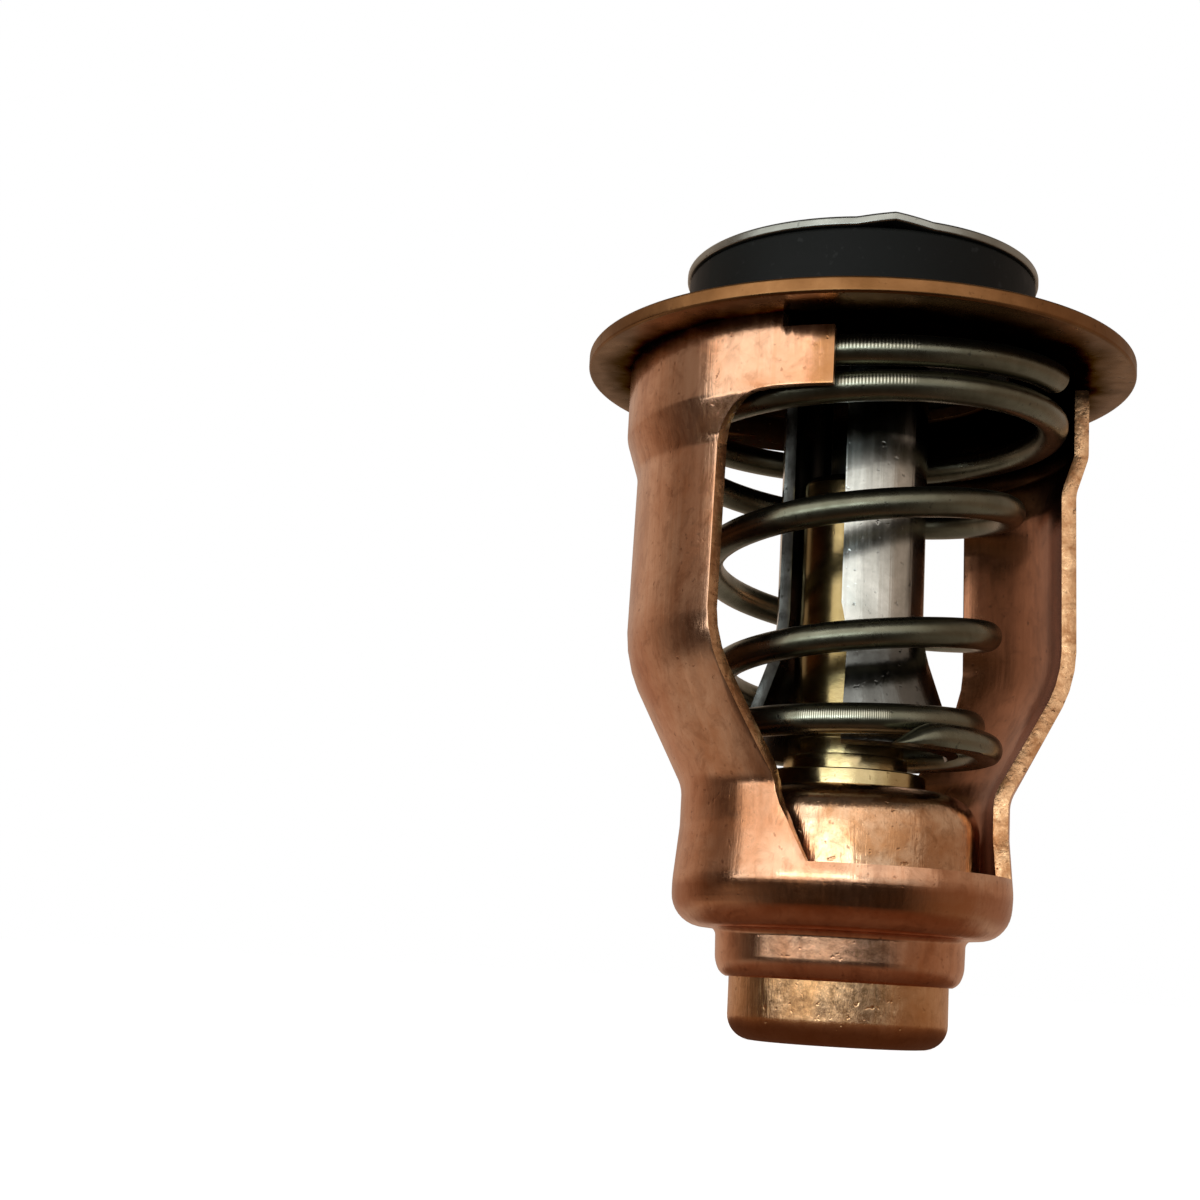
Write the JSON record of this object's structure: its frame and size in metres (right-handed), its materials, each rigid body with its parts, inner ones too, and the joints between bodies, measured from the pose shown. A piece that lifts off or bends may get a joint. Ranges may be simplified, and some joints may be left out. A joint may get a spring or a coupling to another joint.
{
  "type": "engine thermostat",
  "caption": "Wax-element engine coolant valve: copper flange and bridge frame, wax capsule, brass guide, slotted steel yoke, conical spring and rubber-faced valve disc",
  "frame": {"origin": "centre of the capsule's flat lower end, on the valve's axis; it is also the base it stands on", "axes": "+Z along the valve's axis from the capsule to the valve disc, the way the valve lifts; the frame's arms stand on -X and +X; -Y faces the front window between them"},
  "size_m": [0.035, 0.035, 0.0499],
  "materials": {
    "copper": "bare pressed copper alloy, lightly brushed",
    "brass": "turned brass",
    "stainless": "drawn stainless sheet, brushed along the draw",
    "spring_steel": "drawn stainless spring wire",
    "piston_steel": "ground and polished steel",
    "valve_rubber": "moulded black rubber",
    "seal_rubber": "black rubber",
    "backing_plastic": "hard white plastic",
    "wax": "wax filled with copper powder"
  },
  "bodies": {
    "frame": {"flange_plate": "copper", "frame": "copper", "capsule_shell": "copper", "wax_charge": "wax", "diaphragm": "seal_rubber", "guide": "brass", "spring": "spring_steel"},
    "valve": {"yoke": "stainless", "valve_disc": "stainless", "valve_rubber": "valve_rubber", "rivet": "stainless", "piston": "piston_steel", "backing_disc": "backing_plastic", "plug": "seal_rubber"}
  },
  "joints": [
    {"name": "valve_lift", "type": "slide", "parent": "frame", "child": "valve", "axis": [0, 0, 1], "range_m": [0, 0.006], "stiffness_N_per_m": 2500, "springref_m": -0.008, "deforming": ["spring"]}
  ]
}
